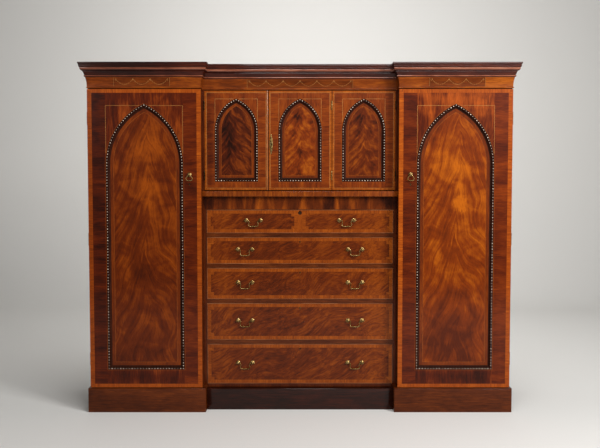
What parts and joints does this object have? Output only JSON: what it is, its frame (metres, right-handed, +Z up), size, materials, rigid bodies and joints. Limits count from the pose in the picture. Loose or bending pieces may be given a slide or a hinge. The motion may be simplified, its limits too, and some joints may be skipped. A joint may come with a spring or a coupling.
{
  "type": "breakfront wardrobe",
  "caption": "Breakfront wardrobe with forward wings, arched panelled doors, a three-door upper cupboard, graduated drawers with swan-neck handles, plinth and moulded cornice.",
  "frame": {"origin": "middle of the rectangle that the whole piece covers on the floor, at floor level", "axes": "+X to the right of someone facing the doors, +Y to the back, +Z up"},
  "size_m": [2.594, 0.623, 2.075],
  "materials": {
    "mahogany": "French polished",
    "figured_mahogany": "French polished",
    "oak": "bare, planed",
    "pine": "bare, aged",
    "beech": "waxed",
    "brass": "worn polish"
  },
  "bodies": {
    "carcase": {"plinths": "mahogany", "frieze": "mahogany", "cornice": "mahogany", "chest_carcase": "mahogany", "drawer_dividers": "mahogany", "chest_ledge": "mahogany", "cupboard_shelf": "mahogany", "back_boards": "pine", "hanging_rails": "beech", "right_wing_carcase": "mahogany", "left_wing_carcase": "mahogany", "cupboard_carcase": "mahogany", "fixed_hinge_leaves": "brass"},
    "left_wing_door": {"left_wing_door_frame": "mahogany", "left_wing_door_panel": "figured_mahogany", "left_wing_door_beading": "mahogany", "left_wing_door_fittings": "brass"},
    "left_ring_pull": {"left_wing_door_ring": "brass"},
    "right_wing_door": {"right_wing_door_frame": "mahogany", "right_wing_door_panel": "figured_mahogany", "right_wing_door_beading": "mahogany", "right_wing_door_fittings": "brass"},
    "right_ring_pull": {"right_wing_door_ring": "brass"},
    "upper_left_door": {"upper_left_door_frame": "mahogany", "upper_left_door_panel": "figured_mahogany", "upper_left_door_beading": "mahogany", "upper_left_door_fittings": "brass"},
    "upper_middle_door": {"upper_middle_door_frame": "mahogany", "upper_middle_door_panel": "figured_mahogany", "upper_middle_door_beading": "mahogany", "upper_middle_door_fittings": "brass"},
    "upper_right_door": {"upper_right_door_frame": "mahogany", "upper_right_door_panel": "figured_mahogany", "upper_right_door_beading": "mahogany", "upper_right_door_fittings": "brass"},
    "drawer_5": {"drawer_5_front": "mahogany", "drawer_5_box": "oak", "drawer_5_fittings": "brass"},
    "drawer_5_left_bail": {"drawer_5_left_bail": "brass"},
    "drawer_5_right_bail": {"drawer_5_right_bail": "brass"},
    "drawer_4": {"drawer_4_front": "mahogany", "drawer_4_box": "oak", "drawer_4_fittings": "brass"},
    "drawer_4_left_bail": {"drawer_4_left_bail": "brass"},
    "drawer_4_right_bail": {"drawer_4_right_bail": "brass"},
    "drawer_3": {"drawer_3_front": "mahogany", "drawer_3_box": "oak", "drawer_3_fittings": "brass"},
    "drawer_3_left_bail": {"drawer_3_left_bail": "brass"},
    "drawer_3_right_bail": {"drawer_3_right_bail": "brass"},
    "drawer_2": {"drawer_2_front": "mahogany", "drawer_2_box": "oak", "drawer_2_fittings": "brass"},
    "drawer_2_left_bail": {"drawer_2_left_bail": "brass"},
    "drawer_2_right_bail": {"drawer_2_right_bail": "brass"},
    "drawer_1": {"drawer_1_front": "mahogany", "drawer_1_box": "oak", "drawer_1_fittings": "brass"},
    "drawer_1_left_bail": {"drawer_1_left_bail": "brass"},
    "drawer_1_right_bail": {"drawer_1_right_bail": "brass"}
  },
  "joints": [
    {"name": "left_wing_door_hinge", "type": "hinge", "parent": "carcase", "child": "left_wing_door", "pos_m": [-1.2586, -0.244, 1], "axis": [0, 0, -1], "range_deg": [0, 110]},
    {"name": "left_ring_pull_hinge", "type": "hinge", "parent": "left_wing_door", "child": "left_ring_pull", "pos_m": [-0.654, -0.2815, 1.421], "axis": [-1, 0, 0], "range_deg": [0, 100]},
    {"name": "right_wing_door_hinge", "type": "hinge", "parent": "carcase", "child": "right_wing_door", "pos_m": [1.2586, -0.244, 1], "axis": [0, 0, 1], "range_deg": [0, 110]},
    {"name": "right_ring_pull_hinge", "type": "hinge", "parent": "right_wing_door", "child": "right_ring_pull", "pos_m": [0.654, -0.2815, 1.421], "axis": [-1, 0, 0], "range_deg": [0, 100]},
    {"name": "upper_left_door_hinge", "type": "hinge", "parent": "carcase", "child": "upper_left_door", "pos_m": [-0.5735, -0.1919, 1.6], "axis": [0, 0, -1], "range_deg": [0, 90]},
    {"name": "upper_right_door_hinge", "type": "hinge", "parent": "carcase", "child": "upper_right_door", "pos_m": [0.5735, -0.1919, 1.6], "axis": [0, 0, 1], "range_deg": [0, 90]},
    {"name": "upper_middle_door_hinge", "type": "hinge", "parent": "upper_right_door", "child": "upper_middle_door", "pos_m": [0.19117, -0.1919, 1.6], "axis": [0, 0, 1], "range_deg": [0, 120]},
    {"name": "drawer_5_slide", "type": "slide", "parent": "carcase", "child": "drawer_5", "axis": [0, -1, 0], "range_m": [0, 0.35]},
    {"name": "drawer_5_left_bail_hinge", "type": "hinge", "parent": "drawer_5", "child": "drawer_5_left_bail", "pos_m": [-0.333, -0.2015, 0.28], "axis": [-1, 0, 0], "range_deg": [0, 100]},
    {"name": "drawer_5_right_bail_hinge", "type": "hinge", "parent": "drawer_5", "child": "drawer_5_right_bail", "pos_m": [0.333, -0.2015, 0.28], "axis": [-1, 0, 0], "range_deg": [0, 100]},
    {"name": "drawer_4_slide", "type": "slide", "parent": "carcase", "child": "drawer_4", "axis": [0, -1, 0], "range_m": [0, 0.35]},
    {"name": "drawer_4_left_bail_hinge", "type": "hinge", "parent": "drawer_4", "child": "drawer_4_left_bail", "pos_m": [-0.333, -0.2015, 0.5385], "axis": [-1, 0, 0], "range_deg": [0, 100]},
    {"name": "drawer_4_right_bail_hinge", "type": "hinge", "parent": "drawer_4", "child": "drawer_4_right_bail", "pos_m": [0.333, -0.2015, 0.5385], "axis": [-1, 0, 0], "range_deg": [0, 100]},
    {"name": "drawer_3_slide", "type": "slide", "parent": "carcase", "child": "drawer_3", "axis": [0, -1, 0], "range_m": [0, 0.35]},
    {"name": "drawer_3_left_bail_hinge", "type": "hinge", "parent": "drawer_3", "child": "drawer_3_left_bail", "pos_m": [-0.333, -0.2015, 0.7705], "axis": [-1, 0, 0], "range_deg": [0, 100]},
    {"name": "drawer_3_right_bail_hinge", "type": "hinge", "parent": "drawer_3", "child": "drawer_3_right_bail", "pos_m": [0.333, -0.2015, 0.7705], "axis": [-1, 0, 0], "range_deg": [0, 100]},
    {"name": "drawer_2_slide", "type": "slide", "parent": "carcase", "child": "drawer_2", "axis": [0, -1, 0], "range_m": [0, 0.35]},
    {"name": "drawer_2_left_bail_hinge", "type": "hinge", "parent": "drawer_2", "child": "drawer_2_left_bail", "pos_m": [-0.333, -0.2015, 0.971], "axis": [-1, 0, 0], "range_deg": [0, 100]},
    {"name": "drawer_2_right_bail_hinge", "type": "hinge", "parent": "drawer_2", "child": "drawer_2_right_bail", "pos_m": [0.333, -0.2015, 0.971], "axis": [-1, 0, 0], "range_deg": [0, 100]},
    {"name": "drawer_1_slide", "type": "slide", "parent": "carcase", "child": "drawer_1", "axis": [0, -1, 0], "range_m": [0, 0.35]},
    {"name": "drawer_1_left_bail_hinge", "type": "hinge", "parent": "drawer_1", "child": "drawer_1_left_bail", "pos_m": [-0.281, -0.2015, 1.147], "axis": [-1, 0, 0], "range_deg": [0, 100]},
    {"name": "drawer_1_right_bail_hinge", "type": "hinge", "parent": "drawer_1", "child": "drawer_1_right_bail", "pos_m": [0.281, -0.2015, 1.147], "axis": [-1, 0, 0], "range_deg": [0, 100]}
  ]
}
